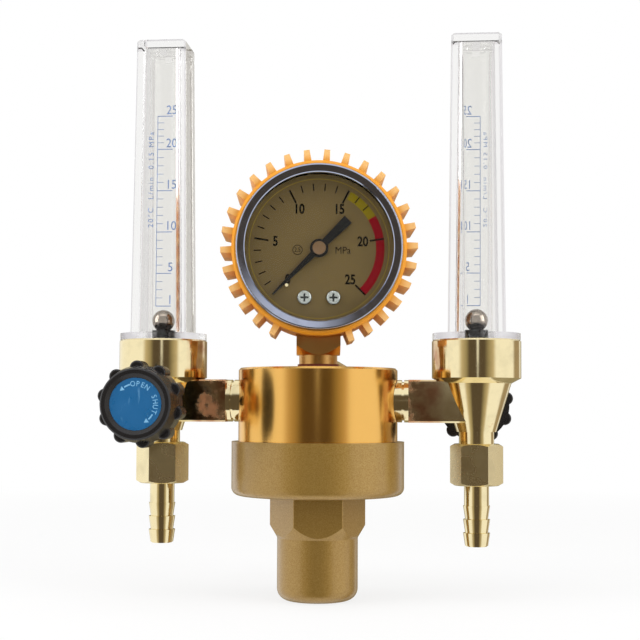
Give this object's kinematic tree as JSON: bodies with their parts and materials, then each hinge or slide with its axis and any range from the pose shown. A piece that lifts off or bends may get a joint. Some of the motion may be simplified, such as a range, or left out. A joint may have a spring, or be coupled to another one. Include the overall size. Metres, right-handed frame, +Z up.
{
  "type": "welding gas flow meter",
  "caption": "Gas regulator with dial gauge and flow meters: clear square tubes with a float ball, needle valve knobs and hose barbs on brass arms.",
  "frame": {"origin": "centre of the inlet union nut's mouth, at the rear", "axes": "+Y out of the inlet towards the gas cylinder, +Z up along the regulator's axis and the meter tubes, gauge and left knob face -Y"},
  "size_m": [0.151, 0.1138, 0.2099],
  "materials": {
    "gold_anodised": "satin gold anodised, turned",
    "bonnet_paint": "khaki-gold metal-flake paint",
    "brass": "turned and polished",
    "fibre": "vulcanised fibre, matt",
    "steel": "plain",
    "seal_rubber": "matt black",
    "filter_bronze": "sintered",
    "boot_rubber": "moulded, satin",
    "bezel_chrome": "polished",
    "lens_glass": "clear",
    "dial_paint": "satin, printed scale",
    "pointer_paint": "satin black, brass hub",
    "clear_acrylic": "clear, polished",
    "black_plastic": "moulded, satin",
    "label_print": "printed blue disc"
  },
  "bodies": {
    "regulator": {"regulator_body": "gold_anodised", "bonnet": "bonnet_paint", "diaphragm": "seal_rubber", "adjusting_spring": "steel", "spring_seat": "steel", "nozzle": "brass", "poppet_spring": "steel", "inlet_nipple": "brass", "inlet_filter": "filter_bronze", "gauge_washer": "fibre", "gauge_stem": "brass", "gauge_case": "steel", "gauge_boot": "boot_rubber", "gauge_bezel": "bezel_chrome", "gauge_lens": "lens_glass", "gauge_dial": "dial_paint", "dial_screws": "steel", "stop_pin": "steel", "movement_front_plate": "brass", "movement_back_plate": "brass", "bourdon_tube": "brass", "cover_seals": "seal_rubber", "gland_seals": "seal_rubber", "tail_washers": "fibre", "left_arm_nipple": "brass", "left_meter_body": "brass", "left_sight_cover": "clear_acrylic", "left_metering_tube": "clear_acrylic", "left_float_seat": "black_plastic", "left_valve_gland": "brass", "left_outlet_nut": "brass", "left_hose_tail": "brass", "right_arm_nipple": "brass", "right_meter_body": "brass", "right_sight_cover": "clear_acrylic", "right_metering_tube": "clear_acrylic", "right_float_seat": "black_plastic", "right_valve_gland": "brass", "right_outlet_nut": "brass", "right_hose_tail": "brass"},
    "diaphragm_unit": {"diaphragm_plate": "steel", "spring_plate": "steel"},
    "poppet": {"poppet": "steel"},
    "inlet_nut": {"inlet_nut": "brass"},
    "pointer": {"gauge_pointer": "pointer_paint", "pointer_arbor": "brass"},
    "sector": {"sector_gear": "brass"},
    "link": {"gauge_link": "brass"},
    "left_needle": {"left_valve_needle": "steel"},
    "left_knob": {"left_knob": "black_plastic", "left_knob_label": "label_print", "left_knob_screw": "steel", "left_valve_spindle": "brass"},
    "left_float": {"left_float_ball": "steel"},
    "right_needle": {"right_valve_needle": "steel"},
    "right_knob": {"right_knob": "black_plastic", "right_knob_label": "label_print", "right_knob_screw": "steel", "right_valve_spindle": "brass"},
    "right_float": {"right_float_ball": "steel"}
  },
  "joints": [
    {"name": "left_valve_slide", "type": "slide", "parent": "regulator", "child": "left_needle", "axis": [0, -1, 0], "range_m": [0, 0.002]},
    {"name": "left_knob_turn", "type": "hinge", "parent": "left_needle", "child": "left_knob", "pos_m": [-0.059, -0.09755, -0.0015], "axis": [0, -1, 0], "range_deg": [0, 720]},
    {"name": "left_float_lift", "type": "slide", "parent": "regulator", "child": "left_float", "axis": [0, 0, 1], "range_m": [0, 0.0967]},
    {"name": "right_valve_slide", "type": "slide", "parent": "regulator", "child": "right_needle", "axis": [0, 1, 0], "range_m": [0, 0.002]},
    {"name": "right_knob_turn", "type": "hinge", "parent": "right_needle", "child": "right_knob", "pos_m": [0.059, -0.03655, -0.0015], "axis": [0, 1, 0], "range_deg": [0, 720]},
    {"name": "right_float_lift", "type": "slide", "parent": "regulator", "child": "right_float", "axis": [0, 0, 1], "range_m": [0, 0.0967]},
    {"name": "pointer_turn", "type": "hinge", "parent": "regulator", "child": "pointer", "pos_m": [0, -0.06705, 0.0557], "axis": [-0.1045, 0.9945, 0], "range_deg": [0, 270], "stiffness_Nm_per_rad": 0.00002, "deforming": ["bourdon_tube"]},
    {"name": "sector_turn", "type": "hinge", "parent": "regulator", "child": "sector", "pos_m": [0.01088, -0.06591, 0.04437], "axis": [-0.1045, 0.9945, 0], "range_deg": [-33.8, 0]},
    {"name": "link_swing", "type": "hinge", "parent": "sector", "child": "link", "pos_m": [0.01684, -0.06528, 0.04468], "axis": [-0.1045, 0.9945, 0], "range_deg": [0, 33.8]},
    {"name": "inlet_nut_spin", "type": "hinge", "parent": "regulator", "child": "inlet_nut", "pos_m": [0, 0, 0], "axis": [0, 1, 0], "continuous": true},
    {"name": "diaphragm_move", "type": "slide", "parent": "regulator", "child": "diaphragm_unit", "axis": [0, 0, 1], "range_m": [-0.0008, 0], "stiffness_N_per_m": 20000, "deforming": ["diaphragm", "adjusting_spring"]},
    {"name": "poppet_move", "type": "slide", "parent": "regulator", "child": "poppet", "axis": [0, 0, 1], "range_m": [-0.0008, 0], "deforming": ["poppet_spring"]}
  ],
  "couplings": [
    {"joint": "left_valve_slide", "follows": "left_knob_turn", "m_per_rad": 0.000159},
    {"joint": "right_valve_slide", "follows": "right_knob_turn", "m_per_rad": 0.000159},
    {"joint": "sector_turn", "follows": "pointer_turn", "ratio": -0.125},
    {"joint": "link_swing", "follows": "pointer_turn", "ratio": 0.125},
    {"joint": "poppet_move", "follows": "diaphragm_move", "ratio": 1}
  ]
}
